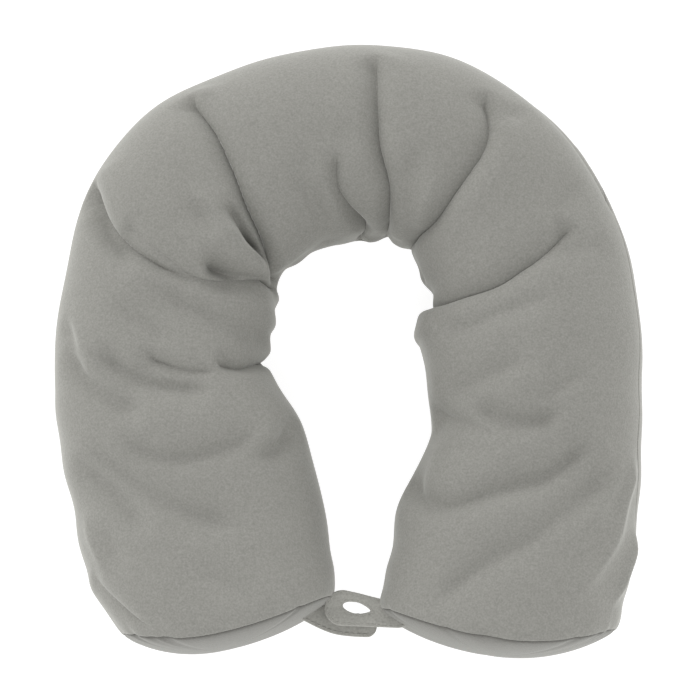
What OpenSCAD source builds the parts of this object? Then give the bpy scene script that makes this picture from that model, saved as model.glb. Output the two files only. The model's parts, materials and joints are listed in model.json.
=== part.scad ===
// U-shaped neck pillow: a bead-filled fabric tube bent round the neck. Its cover opens with a
// zip round the outer edge, and a tab and a loop with a sewn-on press stud join its two ends.
// Millimetres. +X is right, +Y the back of the neck, +Z up, and the pillow lies on z = 0.

/* [Tube] */
// Radius of the tube's outer edge round the bend
outer_r = 158; // [146:1:170]
// Width of the tube, seen from above
tube_w = 115; // [104:1:122]
// Height of the tube
tube_h = 90; // [86:1:100]
// Radius of the tube's lower edges
base_r = 26; // [22:1:27]
// Radius of the tube's upper edges
top_r = 42; // [36:1:42]

/* [Arms] */
// How far the left arm leans in from parallel, in degrees
left_tilt = 12; // [8:1:13]
// How far the right arm leans in from parallel, in degrees
right_tilt = 8; // [6:1:12]
// Length of the left arm from the end of the bend
left_len = 153; // [145:1:165]
// Length of the right arm from the end of the bend
right_len = 161; // [150:1:170]
// Radius of the bulge of each end, seen from above
end_r = 100; // [90:1:120]
// Where each arm bends away from the crown, in degrees above the X axis
bend_at = 20; // [15:1:25]

/* [Fabric] */
// Thickness of the cover fabric
cover_t = 1.2; // [1:0.1:1.2]
// Thickness of the liner fabric
liner_t = 0.4; // [0.3:0.1:0.5]

/* [Zip] */
// Height of the zip above the surface that the pillow lies on
zip_z = 36; // [35:0.5:38]
// Half the angle that the zip covers, in degrees
zip_half = 50; // [40:1:52]
// Width of one tape
tape_w = 9; // [6:0.5:9]

/* [Strap] */
// Width of the tab
tab_w = 11; // [9:0.5:12]
// Thickness of the tab and of the loop
strap_t = 2; // [1.5:0.1:2.2]
// Radius of each half of the press stud
snap_r = 3; // [2.6:0.1:3.2]

/* [Hidden] */
$fn = 64;

UPPER = 1;
LOWER = -1;
cover_grey = [0.59, 0.59, 0.56];
liner_white = [0.86, 0.86, 0.84];
bead_white = [0.95, 0.95, 0.94];
zip_grey = [0.48, 0.48, 0.46];
metal_grey = [0.62, 0.63, 0.64];

mid_r = outer_r - tube_w / 2;
reach = 300;  // larger than the pillow, for cutting shapes
bend_gap = 0.5;  // degrees between the crown and each arm
strap_gap = 0.5;  // between a strap's sewn edge and the end that it is sewn to

// Layers of the tube, as depths below the cover's outer face
tape_in = cover_t + 0.1;
tape_t = 0.5;
coil_in = 0.9;
coil_t = 1.2;
liner_in = 3.1;
fill_in = liner_in + liner_t + 0.2;

// Zip, half heights from its middle
post_room = 0.6;
coil_half = 2;
slot_half = 4.2;
coil_start = 90 - zip_half;
coil_end = 90 + zip_half + 1;
stop_angle = 0.8;
slot_start = coil_start - 2;
slot_end = coil_end + 2;
slider_at = coil_end - 2.2;
slider_len = 8.5;
slider_w = 6.6;
plate_t = 0.8;
pin_r = 0.55;  // the pull's cross bar
pin_x = 0.8;  // how far the cross bar stands out of the tube
pin_y = 1.5;  // and how far it is ahead of the slider's middle

// How far an arm reaches below the bend's centre, and where that centre lies
function arm_reach(tilt, len) = mid_r * sin(tilt) + (len - end_r) * cos(tilt) + end_r;
bend_y = (max(arm_reach(left_tilt, left_len), arm_reach(right_tilt, right_len)) - outer_r) / 2;

// The centre of an arm's rounded end, and a point on that end; side is -1 left, 1 right
function end_centre(side, tilt, len) = [
    side * (mid_r * cos(tilt) - (len - end_r) * sin(tilt)),
    bend_y - mid_r * sin(tilt) - (len - end_r) * cos(tilt),
];
function end_point(side, tilt, len, angle) =
    end_centre(side, tilt, len)
    + end_r * [-side * sin(tilt + angle), -cos(tilt + angle)];

// Straps: where each is sewn on, and the middle between the two seams
tab_angle = 29;
loop_angle = 32;
tab_seam = end_point(-1, left_tilt, left_len, tab_angle);
loop_seam = end_point(1, right_tilt, right_len, loop_angle);
middle = (tab_seam + loop_seam) / 2;
snap_at = middle + [2.8, -5.2];
tab_knee = middle + [-8.2, -5.6];
tab_tip = middle + [6.8, -7.1];
loop_tip = middle + [-6.2, 1.9];
loop_tip_r = 10;
loop_root_r = 8.5;
eye = [middle + [-2.5, 2.1], middle + [4.8, 1.1]];
eye_r = [3.4, 3];

tab_z = 41;
disc_t = 0.7;
ball_r = 1;
ball_lift = 1;
ball_gap = 0.4;
socket_t = 1.5;
bore_r = 1.5;
bore_depth = 1.2;
spring_wire = 0.2;
spring_r = 1.25;
stud_z = tab_z + strap_t;
socket_z = stud_z + ball_lift + ball_r + ball_gap;
loop_z = socket_z + socket_t;

// ---- Cross-section of the tube: a box with rounded edges, shrunk by inset ----

module profile(inset = 0) {
    half_w = tube_w / 2;
    translate([inset - half_w, base_r])
        square([tube_w - 2 * inset, tube_h - base_r - top_r]);
    translate([top_r - half_w, base_r])
        square([tube_w - 2 * top_r, tube_h - base_r - inset]);
    translate([base_r - half_w, inset])
        square([tube_w - 2 * base_r, base_r - inset]);
    for (s = [-1, 1]) {
        translate([s * (half_w - base_r), base_r]) circle(r = base_r - inset);
        translate([s * (half_w - top_r), tube_h - top_r]) circle(r = top_r - inset);
    }
}

// One half of the cover's wall, above or below the seam
module panel_profile(half) {
    intersection() {
        difference() {
            profile();
            profile(cover_t);
        }
        translate([-reach / 2, half == UPPER ? zip_z : zip_z - reach])
            square([reach, reach]);
    }
}

module liner_profile() {
    difference() {
        profile(liner_in);
        profile(liner_in + liner_t);
    }
}

// ---- Sweeps ----

// A section carried round the bend from one angle to another
module bend(from, to) {
    translate([0, bend_y, 0])
        rotate([0, 0, from])
            rotate_extrude(angle = to - from)
                translate([mid_r, 0])
                    children();
}

// The straight part of an arm, rounded at its end, with trim taken off the end
module straight(tilt, len, trim = 0) {
    translate([0, bend_y, 0])
        rotate([0, 0, -tilt])
            translate([mid_r, 0, 0])
                intersection() {
                    rotate([90, 0, 0])
                        linear_extrude(len)
                            children();
                    translate([0, end_r - len, -1])
                        cylinder(r = end_r - trim, h = tube_h + 2);
                }
}

module arm(tilt, len, trim = 0) {
    bend(-tilt, bend_at - bend_gap / 2)
        children();
    straight(tilt, len, trim)
        children();
}

// The room that an arm takes, grown on every side, for cutting a strap's sewn edge
module arm_room(tilt, len, grow) {
    translate([0, bend_y, 0])
        rotate([0, 0, -tilt])
            translate([mid_r, 0, 0])
                intersection() {
                    translate([-tube_w / 2 - grow, -len - grow, 0])
                        cube([tube_w + 2 * grow, len + grow, tube_h]);
                    translate([0, end_r - len, 0])
                        cylinder(r = end_r + grow, h = tube_h);
                }
}

module left() {
    mirror([1, 0, 0])
        children();
}

// ---- Crown ----

module crown_panel(half) {
    color(cover_grey)
        difference() {
            bend(bend_at + bend_gap / 2, 180 - bend_at - bend_gap / 2)
                panel_profile(half);
            band(slot_start, slot_end, -1, cover_t + 1, -slot_half, slot_half);
        }
}

module liner_crown() {
    color(liner_white)
        bend(bend_at + bend_gap / 2, 180 - bend_at - bend_gap / 2)
            liner_profile();
}

module fill_crown() {
    color(bead_white)
        bend(bend_at + bend_gap / 2, 180 - bend_at - bend_gap / 2)
            profile(fill_in);
}

// ---- Arms ----

module arm_panel(tilt, len, half) {
    color(cover_grey)
        arm(tilt, len, cover_t)
            panel_profile(half);
}

module end_panel(tilt, len) {
    color(cover_grey)
        difference() {
            straight(tilt, len)
                profile();
            translate([0, bend_y, 0])
                rotate([0, 0, -tilt])
                    translate([mid_r, end_r - len, -1])
                        cylinder(r = end_r - cover_t, h = tube_h + 2);
        }
}

module arm_liner(tilt, len) {
    color(liner_white)
        difference() {
            arm(tilt, len, liner_in)
                profile(liner_in);
            arm(tilt, len, liner_in + liner_t)
                profile(liner_in + liner_t);
        }
}

module arm_fill(tilt, len) {
    color(bead_white)
        arm(tilt, len, fill_in)
            profile(fill_in);
}

// ---- Zip: bands on the tube's outer wall, between two depths and two heights ----

module band(from, to, depth_out, depth_in, low, high) {
    translate([0, bend_y, 0])
        rotate([0, 0, from])
            rotate_extrude(angle = to - from)
                translate([outer_r - depth_in, zip_z + low])
                    square([depth_in - depth_out, high - low]);
}

module zip_tape(half) {
    color(zip_grey)
        band(slot_start - 1.5, slot_end + 1.5, tape_in, tape_in + tape_t,
             half == UPPER ? coil_half : -tape_w, half == UPPER ? tape_w : -coil_half);
}

module zip_coil(half) {
    color(zip_grey)
        band(coil_start, coil_end, coil_in, coil_in + coil_t,
             half == UPPER ? post_room : -coil_half, half == UPPER ? coil_half : -post_room);
}

module zip_top_stops() {
    color(metal_grey)
        for (low = [post_room, -coil_half])
            band(coil_end, coil_end + stop_angle, coil_in - 0.3, coil_in + coil_t,
                 low, low + coil_half - post_room);
}

module zip_bottom_stop() {
    color(metal_grey)
        band(coil_start - stop_angle, coil_start, coil_in - 0.3, coil_in + coil_t,
             -coil_half, coil_half);
}

// Places a shape at the slider: x out of the tube, y along the zip, z up
module at_slider() {
    translate([0, bend_y, zip_z])
        rotate([0, 0, slider_at])
            translate([outer_r, 0, 0])
                children();
}

// A block centred on y and z, between two values of x
module block(x, y, z) {
    translate([x[0], -y / 2, -z / 2])
        cube([x[1] - x[0], y, z]);
}

module zip_slider() {
    front = 0.2 - coil_in;  // inner face of the front plate, clear of the coil
    back = -coil_in - coil_t - 0.2;  // outer face of the back plate
    lip_w = 0.7;
    bail_w = 2;
    bail_r = [0.8, 1.6];
    color(metal_grey)
        at_slider() {
            block([front, front + plate_t], slider_len, slider_w);
            block([back - 0.5, back], slider_len - 1, slider_w);
            for (s = [-1, 1])
                translate([0, 0, s * (slider_w - lip_w) / 2]) {
                    block([-tape_in + 0.15, front], slider_len, lip_w);
                    block([back, -tape_in - tape_t - 0.15], slider_len - 1, lip_w);
                }
            // post between the two coils
            translate([0, 2.6, 0])
                block([back, front], 1.6, 0.8);
            // bail over the pull's cross bar
            intersection() {
                translate([pin_x, pin_y, -bail_w / 2])
                    difference() {
                        cylinder(r = bail_r[1], h = bail_w);
                        translate([0, 0, -1])
                            cylinder(r = bail_r[0], h = bail_w + 2);
                    }
                block([front + plate_t / 2, 4], 20, bail_w);
            }
        }
}

module zip_pull() {
    arm_w = 1;
    pull_w = 5;
    pull_len = 18;
    eye_len = 4;
    color(metal_grey)
        at_slider()
            translate([pin_x, pin_y, 0]) {
                translate([0, 0, -pull_w / 2])
                    cylinder(r = pin_r, h = pull_w);
                for (s = [-1, 1])
                    translate([-pin_r, -eye_len, s * (pull_w - arm_w) / 2 - arm_w / 2])
                        cube([2 * pin_r, eye_len, arm_w]);
                translate([-pin_r, 0, 0])
                    rotate([90, 0, 90])
                        linear_extrude(2 * pin_r)
                            difference() {
                                translate([-pull_len, -pull_w / 2])
                                    square([pull_len - eye_len, pull_w]);
                                translate([-pull_len + 3.2, 0])
                                    circle(r = 1.2);
                            }
            }
}

// ---- Straps ----

// Two circles and the band between their outer tangents
module slug(p, q, r_p, r_q) {
    d = norm(q - p);
    e = atan2(q[1] - p[1], q[0] - p[0]);
    g = acos((r_p - r_q) / d);
    translate(p) circle(r = r_p);
    translate(q) circle(r = r_q);
    polygon([
        p + r_p * [cos(e + g), sin(e + g)],
        p + r_p * [cos(e - g), sin(e - g)],
        q + r_q * [cos(e - g), sin(e - g)],
        q + r_q * [cos(e + g), sin(e + g)],
    ]);
}

module strap_tab() {
    color(cover_grey)
        difference() {
            translate([0, 0, tab_z])
                linear_extrude(strap_t) {
                    slug(tab_seam, tab_knee, tab_w / 2, tab_w / 2);
                    slug(tab_knee, tab_tip, tab_w / 2, tab_w / 2);
                }
            left() arm_room(left_tilt, left_len, strap_gap);
        }
}

module strap_loop() {
    color(cover_grey)
        difference() {
            translate([0, 0, loop_z])
                linear_extrude(strap_t)
                    difference() {
                        slug(loop_tip, loop_seam, loop_tip_r, loop_root_r);
                        slug(eye[0], eye[1], eye_r[0], eye_r[1]);
                    }
            arm_room(right_tilt, right_len, strap_gap);
        }
}

module snap_stud() {
    color(metal_grey)
        translate([snap_at[0], snap_at[1], stud_z]) {
            cylinder(r = snap_r, h = disc_t);
            cylinder(r = 0.7, h = ball_lift);
            translate([0, 0, ball_lift]) sphere(r = ball_r);
        }
}

module snap_socket() {
    color(metal_grey)
        translate([snap_at[0], snap_at[1], socket_z])
            difference() {
                cylinder(r = snap_r, h = socket_t);
                translate([0, 0, bore_depth - socket_t])
                    cylinder(r = bore_r, h = socket_t);
            }
}

module snap_spring() {
    color(metal_grey)
        translate([snap_at[0], snap_at[1], socket_z + bore_depth / 2])
            rotate_extrude(angle = 300)
                translate([spring_r, 0])
                    circle(r = spring_wire);
}

crown_panel(UPPER);  // cover_crown_top
crown_panel(LOWER);  // cover_crown_bottom
liner_crown();
fill_crown();
zip_tape(UPPER);  // zip_tape_upper
zip_tape(LOWER);  // zip_tape_lower
zip_coil(UPPER);  // zip_coil_upper
zip_coil(LOWER);  // zip_coil_lower
zip_top_stops();
zip_bottom_stop();
zip_slider();
zip_pull();
left() arm_panel(left_tilt, left_len, UPPER);  // cover_left_top
left() arm_panel(left_tilt, left_len, LOWER);  // cover_left_bottom
left() end_panel(left_tilt, left_len);  // cover_left_end
left() arm_liner(left_tilt, left_len);  // liner_left
left() arm_fill(left_tilt, left_len);  // fill_left
arm_panel(right_tilt, right_len, UPPER);  // cover_right_top
arm_panel(right_tilt, right_len, LOWER);  // cover_right_bottom
end_panel(right_tilt, right_len);  // cover_right_end
arm_liner(right_tilt, right_len);  // liner_right
arm_fill(right_tilt, right_len);  // fill_right
strap_tab();
snap_stud();
strap_loop();
snap_socket();
snap_spring();
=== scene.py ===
"""Looks of the u-shaped neck pillow: a velour cover over a bead-filled tube, with its folds, seams,
end panels, zip, strap tab and strap loop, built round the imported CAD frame. Metres; +X right, +Y crown."""

import json
from math import cos, pi, radians, sin

import bpy
import numpy as np
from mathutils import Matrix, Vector


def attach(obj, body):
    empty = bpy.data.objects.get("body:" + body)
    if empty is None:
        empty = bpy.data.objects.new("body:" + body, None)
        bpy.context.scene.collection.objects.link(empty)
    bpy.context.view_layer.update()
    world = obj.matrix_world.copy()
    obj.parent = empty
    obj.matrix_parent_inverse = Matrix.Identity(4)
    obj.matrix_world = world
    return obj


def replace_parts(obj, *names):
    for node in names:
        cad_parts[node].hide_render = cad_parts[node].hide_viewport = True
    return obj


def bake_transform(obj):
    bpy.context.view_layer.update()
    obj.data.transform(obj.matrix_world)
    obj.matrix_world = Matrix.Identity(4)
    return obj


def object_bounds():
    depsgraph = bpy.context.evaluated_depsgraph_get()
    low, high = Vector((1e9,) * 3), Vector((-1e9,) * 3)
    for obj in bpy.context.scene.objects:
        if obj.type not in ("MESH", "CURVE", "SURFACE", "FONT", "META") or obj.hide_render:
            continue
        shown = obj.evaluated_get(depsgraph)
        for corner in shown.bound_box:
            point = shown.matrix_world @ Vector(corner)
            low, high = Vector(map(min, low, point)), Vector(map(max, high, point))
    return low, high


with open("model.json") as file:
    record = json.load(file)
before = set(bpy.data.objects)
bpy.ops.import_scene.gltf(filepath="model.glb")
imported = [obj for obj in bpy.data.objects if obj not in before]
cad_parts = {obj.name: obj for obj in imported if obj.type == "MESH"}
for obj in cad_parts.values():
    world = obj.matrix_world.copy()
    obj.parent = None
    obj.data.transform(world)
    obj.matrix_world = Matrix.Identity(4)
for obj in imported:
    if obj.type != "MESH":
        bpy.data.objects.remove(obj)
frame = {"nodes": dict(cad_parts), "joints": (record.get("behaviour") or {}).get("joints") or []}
cad_box = [[float(x) for x in corner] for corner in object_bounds()]

MM = 0.001

# ---- The tube's driving sizes, as in the CAD ----
TUBE_W = 115 * MM
TUBE_H = 90 * MM
OUTER_R = (cad_box[1][0] - cad_box[0][0]) / 2
MID_R = OUTER_R - TUBE_W / 2
BEND_Y = cad_box[1][1] - OUTER_R
LEFT_TILT = radians(12)
RIGHT_TILT = radians(8)
LEFT_LEN = 153 * MM
RIGHT_LEN = 161 * MM
# Radius of each end's bow over its inner and its outer half, for the left and the right end
END_BOWS = [(200 * MM, 98 * MM), (190 * MM, 122 * MM)]
ZIP_Z = 36 * MM

# ---- The visual tube ----
END_BULGE = 4.5 * MM  # how far an end panel swells past its rim seam
WIDEST_Z = 40 * MM  # height at which the section is widest
# Powers of the section's superellipse: over the top, fuller towards the neck, and flatter below
TOP_POWER = 2.15
INNER_POWER = 2.5
BASE_POWER = 2.9
FLOOR_GAP = 0.2 * MM

# The middle line's length from the crown's middle to where each arm starts, and to each rim
LEFT_ARM_S = MID_R * (pi / 2 + LEFT_TILT)
RIGHT_ARM_S = MID_R * (pi / 2 + RIGHT_TILT)
LEFT_RIM_S = LEFT_ARM_S + LEFT_LEN - END_BULGE
RIGHT_RIM_S = RIGHT_ARM_S + RIGHT_LEN - END_BULGE

ROWS = 300  # rows of the coarse mesh along the tube
AROUND = 116  # points round it
CAP_ROWS = 14  # rows of each end panel
RIM = 2 * CAP_ROWS  # the rim seam's row in the refined mesh

# The outline: how far the tube's inner and outer edges stand out of the plain tube at a few places.
# Each point is the distance along the tube (mm, 0 at the crown's middle, + to the right) and how far (mm).
INNER_EDGE = [(-330, 7), (-300, 10), (-225, 8), (-180, -2), (-145, 3), (-75, -7), (-15, -7.5), (45, -15),
              (110, -6), (160, 5.5), (222, -8), (255, 0), (330, 7)]
OUTER_EDGE = [(-330, -7), (-305, 1.5), (-245, 6), (-195, 4), (-150, -1), (-95, 4), (-15, 0), (65, 4.5),
              (145, -0.5), (230, 8.5), (330, 7)]


def smooth(a, b, x):
    """0 before a, 1 after b, smooth between."""
    t = np.clip((x - a) / (b - a), 0, 1)
    return t * t * (3 - 2 * t)


def unit(a):
    """Vectors made one long."""
    return a / np.maximum(np.linalg.norm(a, axis=-1, keepdims=True), 1e-12)


def distances(path):
    """Each point's distance from the path's start, measured along it."""
    return np.concatenate([[0], np.cumsum(np.linalg.norm(np.diff(path, axis=0), axis=1))])


def spine(s):
    """Middle line of the tube: centre, outward normal and direction, for distances s."""
    held = np.clip(s, -LEFT_ARM_S, RIGHT_ARM_S)
    angle = pi / 2 - held / MID_R
    out = np.stack([np.cos(angle), np.sin(angle)], -1)
    along = np.stack([np.sin(angle), -np.cos(angle)], -1)
    centre = MID_R * out + (s - held)[..., None] * along
    centre[..., 1] += BEND_Y
    return centre, out, along


def section(v):
    """Cross-section for turns v, 0 at the outer side and 0.25 at the top: outward and upward."""
    a = 2 * pi * v
    top = np.where(np.cos(a) >= 0, TOP_POWER, INNER_POWER)
    power = np.where(np.sin(a) >= 0, top, BASE_POWER)
    up = np.where(np.sin(a) >= 0, TUBE_H - WIDEST_Z, WIDEST_Z)
    c = np.sign(np.cos(a)) * np.abs(np.cos(a)) ** (2 / power)
    d = np.sign(np.sin(a)) * np.abs(np.sin(a)) ** (2 / power)
    return TUBE_W / 2 * c, up * d


# Share of the section's girth against turns, to space points evenly round it
TURNS = np.linspace(-0.25, 1.25, 6001)
girth_q, girth_up = section(TURNS)
GIRTH = np.concatenate([[0], np.cumsum(np.hypot(np.diff(girth_q), np.diff(girth_up)))])
GIRTH = GIRTH - np.interp(0, TURNS, GIRTH)
PERIMETER = float(np.interp(1, TURNS, GIRTH))
GIRTH = GIRTH / PERIMETER
INNER_SEAM = float(np.interp(0.555, TURNS, GIRTH))  # a little below the widest line, out of sight


def through(at, x, y):
    """A smooth curve through the points (x, y), read at the places at."""
    slope = np.gradient(y, x)
    i = np.clip(np.searchsorted(x, at) - 1, 0, len(x) - 2)
    step = x[i + 1] - x[i]
    t = np.clip((at - x[i]) / step, 0, 1)
    ease = t * t * (3 - 2 * t)
    bend = t * (1 - t) * ((1 - t) * slope[i] - t * slope[i + 1])
    return y[i] * (1 - ease) + y[i + 1] * ease + step * bend


def edge_shift(s):
    """How far the inner and outer edges stand out at distances s."""
    return [through(s, *np.array(edge, float).T * MM) for edge in (INNER_EDGE, OUTER_EDGE)]


def zip_reach(s):
    """1 round the back, where the zip holds the cover."""
    return smooth(-110 * MM, -97 * MM, s) * (1 - smooth(94 * MM, 107 * MM, s))


def place(s, v, shrink=1, push=0):
    """Points of the plain tube. shrink draws a section towards its middle, push moves it along the arm."""
    q, up = section(v)
    q, up = q * shrink, up * shrink
    inner, outer = edge_shift(s)
    outer = outer * (1 - zip_reach(s) * (1 - smooth(5 * MM, 14 * MM, WIDEST_Z + up - ZIP_Z)))
    q = q * (1 + (inner + outer) / TUBE_W) + (outer - inner) / 2 * shrink
    near_end = np.where(s < 0, smooth(LEFT_RIM_S - 60 * MM, LEFT_RIM_S, -s),
                        smooth(RIGHT_RIM_S - 60 * MM, RIGHT_RIM_S, s))
    (left_in, left_out), (right_in, right_out) = END_BOWS
    radius = np.where(s < 0, np.where(q < 0, left_in, left_out), np.where(q < 0, right_in, right_out))
    bow = near_end * (radius - np.sqrt(radius ** 2 - np.clip(q, -80 * MM, 80 * MM) ** 2))
    centre, out, _ = spine(s - np.sign(s) * (bow - push))
    flat = centre + out * q[..., None]
    return np.concatenate([flat, (WIDEST_Z + up)[..., None]], -1)


def axes(s, v):
    """Unit directions along the tube, round it and outward, at points of the plain tube."""
    step_s, step_v = 0.5 * MM, 0.002
    along = place(s + step_s, v) - place(s - step_s, v)
    around = place(s, v + step_v) - place(s, v - step_v)
    return unit(along), unit(around), unit(np.cross(around, along))


# ---- The mesh's own lines: rows along the tube, and lines round it that start at the outer seam ----
def tube_rows(rows=ROWS, cap_rows=CAP_ROWS):
    """Distance along the tube, section shrink and push for every row, end panels included."""
    s = np.linspace(-LEFT_RIM_S, RIGHT_RIM_S, rows)
    to_rim = np.minimum(s + LEFT_RIM_S, RIGHT_RIM_S - s)
    t = np.clip(1 - to_rim / (8 * MM), 0, 1)
    shrink = 1 - 0.035 * (1 - np.sqrt(1 - 0.98 * t ** 2))
    push = np.zeros(rows)
    f = 1 - np.linspace(0, 1, cap_rows + 1)[1:]
    cap_shrink = f * shrink[0]
    cap_push = END_BULGE * (1 - f ** 2) ** 0.7
    left = (np.full(cap_rows, -LEFT_RIM_S), cap_shrink, cap_push)
    right = (np.full(cap_rows, RIGHT_RIM_S), cap_shrink, cap_push)
    return [np.concatenate([a[::-1], b, d]) for a, b, d in zip(left, (s, shrink, push), right)]


def seam_turns(s):
    """Where the outer seam runs: at the zip's height round the back, and above the widest line,
    where it shows from above, from the right bend on."""
    under = TURNS <= 0
    low = float(np.interp(ZIP_Z - WIDEST_Z, girth_up[under], TURNS[under]))
    shown = smooth(92 * MM, 116 * MM, s) * (1 - smooth(225 * MM, 290 * MM, s))
    left = smooth(100 * MM, 160 * MM, -s) * (1 - smooth(LEFT_RIM_S - 70 * MM, LEFT_RIM_S, -s))
    return low + 0.056 * shown + 0.004 * left


def turns_at(s, u):
    """Turns v of the mesh lines u (0 at the outer seam, 0.5 at the inner, 1 at the outer again)."""
    start = np.interp(seam_turns(s), TURNS, GIRTH)
    upper = start + (INNER_SEAM - start) * 2 * u
    lower = INNER_SEAM + (1 + start - INNER_SEAM) * (2 * u - 1)
    return np.interp(np.where(u <= 0.5, upper, lower), GIRTH, TURNS)


# ---- Folds. Each is a smooth curve across the tube through a few points (v, s): v in turns round the
# section from the outer side, s in mm along the tube. depth is its depth in mm at its two ends, lap how
# far the fabric of one side hangs over the other, dip the width in mm of the slope under it, and ends the
# lengths in mm over which it starts and stops. over is the side that lies on top (1, towards the right
# arm, unless it says -1), and knob the height in mm of the bump at its outer end, if it has one. ----
FOLDS = [
    # Left side of the crown, with a short pinch beside it
    dict(line=[(.11, -60), (.22, -61), (.32, -70), (.44, -79), (.49, -90)],
         depth=(7.5, 9.5), lap=(3, 5), dip=9, ends=(9, 14), knob=2.4),
    dict(line=[(.29, -82), (.35, -86), (.41, -87)],
         depth=(9, 14), lap=(0.5, 1.5), dip=3.5, over=-1, ends=(12, 12)),
    # Left bend: a fold in from the edge, one that hooks round to the neck, and a pinch between
    dict(line=[(.06, -107), (.16, -121), (.265, -132)],
         depth=(12, 5), lap=(2.5, 1.5), dip=11, ends=(10, 30), knob=1.5),
    dict(line=[(.185, -116), (.24, -123), (.295, -130), (.375, -116), (.43, -105), (.49, -103)],
         depth=(3.5, 6), lap=(1.5, 2.5), dip=6, ends=(8, 16)),
    dict(line=[(.295, -119), (.34, -115), (.43, -99)],
         depth=(15, 3), lap=(1.5, 1), dip=3, ends=(8, 10)),
    # Crown's middle, right side of the crown, and right bend
    dict(line=[(.135, 11), (.26, 17), (.37, 33), (.45, 39), (.56, 41)],
         depth=(7, 9), lap=(2, 4), dip=8, ends=(10, 14), knob=1.8),
    dict(line=[(.145, 55), (.2, 65), (.3, 71), (.38, 72), (.46, 67), (.56, 66)],
         depth=(6.5, 8.5), lap=(2, 4), dip=10, ends=(9, 14), knob=1),
    dict(line=[(.175, 119), (.24, 128), (.3, 137), (.4, 136), (.56, 128)],
         depth=(7, 9), lap=(2, 4), dip=12, ends=(8, 16), knob=1),
    # Tuck at the neck, left of the crown's middle
    dict(line=[(.29, -7), (.35, -6), (.41, 5), (.49, 21), (.54, 14)],
         depth=(5, 10), lap=(1.5, 3.5), dip=6, ends=(12, 12)),
    # Left arm, across the top and then in to the neck
    dict(line=[(.24, -176), (.27, -186), (.315, -192)],
         depth=(6, 3), lap=(2.5, 1), dip=7, ends=(14, 12)),
    dict(line=[(.33, -187), (.37, -190), (.43, -188), (.56, -180)],
         depth=(7, 8), lap=(1.5, 2), dip=4, ends=(9, 12)),
    # Right arm, at the neck side
    dict(line=[(.46, 211), (.38, 217), (.305, 222)],
         depth=(5, 2), lap=(0.5, 0.3), dip=9, over=-1, ends=(16, 14)),
    # Stitched line above the zip's right end, and the tuck at the left end's outer corner
    dict(line=[(.02, 54), (.045, 70), (.052, 95), (.047, 116)],
         depth=(1.6, 1.6), lap=(0.3, 0.3), dip=4, over=-1, ends=(12, 8)),
    dict(line=[(.055, -287), (.09, -308), (.14, -323)],
         depth=(2, 4), lap=(1, 2), dip=8, ends=(10, 6)),
]

# Soft valleys and ridges: a few points (v, s), height in mm (+ a ridge), width in mm on the side of the
# smaller and the greater s, and the length in mm over which it fades in and out
SWELLS = [
    # Crown, left of its middle
    ([(.25, -92), (.29, -100)], -1.2, 6, 4, 14),
    ([(.25, -88), (.35, -94)], 1.3, 3, 5, 12),
    ([(.25, -4), (.285, 3)], -0.8, 5, 4, 12),
    ([(.29, -38), (.36, -28), (.42, -23)], -1.4, 5, 3, 14),
    ([(.27, -27), (.32, -24)], -0.9, 3, 3, 12),
    ([(.275, -22), (.35, -15), (.43, -5)], 0.9, 3, 4, 12),
    # Crown, right of its middle, and right bend
    ([(.27, 41), (.32, 40), (.42, 54)], -1.8, 5, 5, 16),
    ([(.31, 57), (.42, 63)], 1.5, 4, 3, 12),
    ([(.115, 70), (.17, 66)], -1.0, 5, 5, 12),
    ([(.125, 102), (.21, 109)], -1.3, 5, 5, 12),
    ([(.12, 127), (.22, 130)], -1.1, 4, 5, 12),
    # Left bend
    ([(.07, -113), (.14, -123), (.205, -132)], -1.6, 5, 4, 12),
    ([(.305, -133), (.36, -127), (.42, -115)], -1.6, 4, 5, 12),
    ([(.235, -142), (.3, -156), (.38, -168), (.485, -168)], -1.8, 6, 5, 16),
    ([(.185, -151), (.225, -160), (.27, -173)], -1.3, 5, 4, 14),
    ([(.165, -171), (.23, -191), (.295, -203)], -2.6, 5, 4, 12),
    ([(.09, -168), (.15, -187), (.215, -208)], -2.2, 5, 4, 12),
    ([(.075, -156), (.12, -167)], -1.2, 4, 4, 10),
    ([(.09, -155), (.14, -169), (.2, -190)], 0.9, 4, 4, 14),
    # Left arm
    ([(.18, -218), (.235, -232), (.29, -232), (.35, -228)], -2.2, 5, 4, 14),
    ([(.33, -242), (.38, -235), (.44, -225)], -2.2, 5, 3, 12),
    ([(.305, -235), (.39, -226)], 0.8, 4, 4, 10),
    ([(.13, -216), (.21, -251), (.285, -277)], -2.0, 6, 4, 18),
    ([(.09, -221), (.14, -242), (.185, -267)], -1.9, 5, 4, 14),
    ([(.11, -256), (.14, -282)], -0.9, 4, 4, 12),
    ([(.075, -250), (.105, -287)], 0.8, 3, 4, 14),
    ([(.23, -289), (.28, -315)], -0.8, 6, 5, 14),
    # Right arm, upper half
    ([(.42, 157), (.36, 166), (.29, 156), (.23, 147)], -2.0, 8, 5, 18),
    ([(.415, 205), (.33, 195), (.255, 181)], -1.9, 8, 4, 16),
    ([(.255, 200), (.185, 183)], -1.4, 5, 3, 12),
    ([(.35, 208), (.27, 214), (.22, 205)], -2.6, 6, 4, 12),
    ([(.4, 232), (.3, 232)], -0.9, 5, 5, 14),
    # Right arm, lower half
    ([(.49, 249), (.36, 263), (.26, 248), (.175, 219)], -3.2, 9, 4, 14),
    ([(.33, 317), (.25, 280), (.13, 230)], -2.2, 8, 5, 18),
    ([(.165, 264), (.11, 228)], 1.2, 3, 3, 14),
    ([(.16, 303), (.12, 272), (.075, 223)], 1.5, 3, 3, 14),
    ([(.08, 311), (.045, 260)], 1.4, 3, 3, 12),
]

CUSP = 0.5 * MM  # radius of a fold's sharp line
SOFT = 3 * MM  # radius of a valley's or ridge's line
SWELL = 2.7  # strength of all valleys and ridges
BROAD_SHARE = 0.62  # share of a fold's depth in its broad part, and in its sharp part
SHARP_SHARE = 0.5
FALL = 6 * MM  # width of the slope on the side that lies on top
PUFF = 0.18  # how far that side swells beyond the slope, as a share of the depth


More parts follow.
